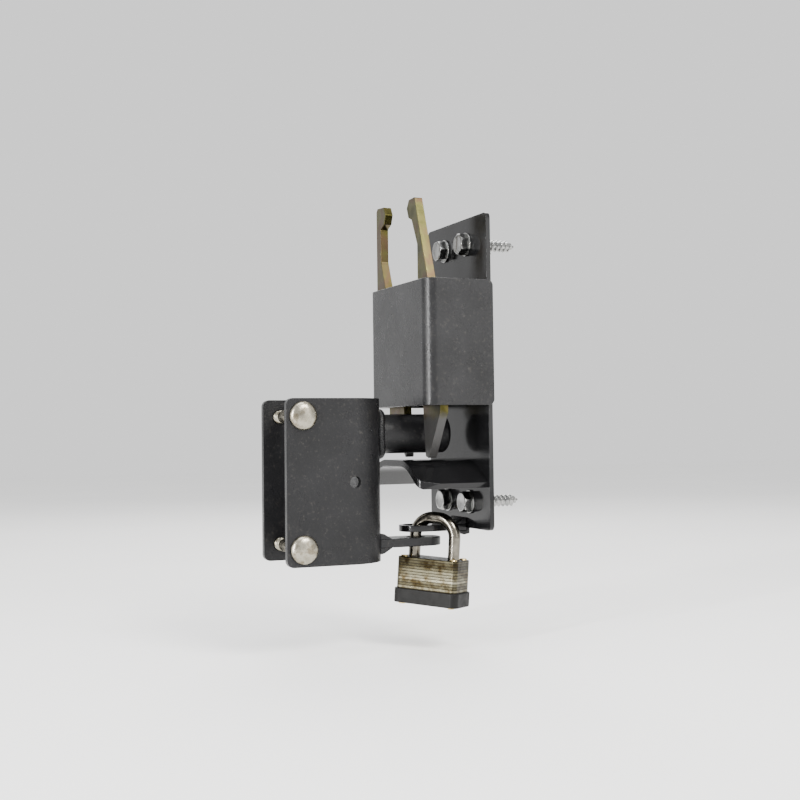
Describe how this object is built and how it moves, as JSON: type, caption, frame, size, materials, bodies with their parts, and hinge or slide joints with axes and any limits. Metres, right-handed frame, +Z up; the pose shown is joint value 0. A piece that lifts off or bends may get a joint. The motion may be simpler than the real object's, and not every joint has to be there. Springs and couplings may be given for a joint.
{
  "type": "gate latch",
  "caption": "Two-way gravity gate latch: post plate with cover and drop levers, tube clamp with latch pin, and a laminated padlock through the lugs of both halves.",
  "frame": {"origin": "centre of the post plate's back face, which bears on the post", "axes": "+X into the post, +Y to the rear, +Z up"},
  "size_m": [0.1897, 0.1108, 0.3092],
  "materials": {
    "black_powder": "satin powder coat",
    "zinc": "bright zinc plate",
    "yellow_zinc": "yellow zinc plate",
    "hard_steel": "polished",
    "laminated_steel": "brushed",
    "lock_brass": "satin",
    "bumper": "matte"
  },
  "bodies": {
    "post_half": {"post_plate": "black_powder", "post_lug": "black_powder", "post_lug_weld": "black_powder", "latch_cover": "black_powder", "cover_welds": "black_powder", "striker_ramp": "black_powder", "ramp_weld": "black_powder", "guide_studs": "zinc", "stud_bushes": "zinc", "guide_washers": "zinc", "retaining_clips": "zinc", "lag_screws": "zinc", "lag_washers": "zinc"},
    "front_drop_lever": {"front_lever": "yellow_zinc"},
    "rear_drop_lever": {"rear_lever": "yellow_zinc"},
    "gate_half": {"gate_clamp": "black_powder", "latch_pin": "black_powder", "pin_end_cap": "black_powder", "pin_weld": "black_powder", "gate_lug": "black_powder", "lug_weld": "black_powder", "carriage_bolts": "zinc", "bolt_washers": "zinc", "bolt_nuts": "zinc"},
    "padlock": {"shackle": "hard_steel", "lock_laminations": "laminated_steel", "lock_top_plate": "laminated_steel", "lock_bottom_plate": "laminated_steel", "lock_rivets": "lock_brass", "lock_bumper": "bumper", "lock_cylinder": "lock_brass"},
    "lock_plug": {"key_plug": "lock_brass"}
  },
  "joints": [
    {"name": "front_lever_lift", "type": "slide", "parent": "post_half", "child": "front_drop_lever", "axis": [0, 0, 1], "range_m": [0, 0.036]},
    {"name": "rear_lever_lift", "type": "slide", "parent": "post_half", "child": "rear_drop_lever", "axis": [0, 0, 1], "range_m": [0, 0.036]},
    {"name": "gate_free_play", "type": "slide", "parent": "post_half", "child": "gate_half", "axis": [0, 1, 0], "range_m": [-0.0018, 0.001]},
    {"name": "padlock_swing", "type": "hinge", "parent": "post_half", "child": "padlock", "pos_m": [-0.0404, 0, -0.121], "axis": [0, 0, 1], "range_deg": [-60, 9]},
    {"name": "key_turn", "type": "hinge", "parent": "padlock", "child": "lock_plug", "pos_m": [-0.03264, -0.01197, -0.16087], "axis": [0.061, -0.0259, 0.9978], "range_deg": [0, 35]}
  ]
}
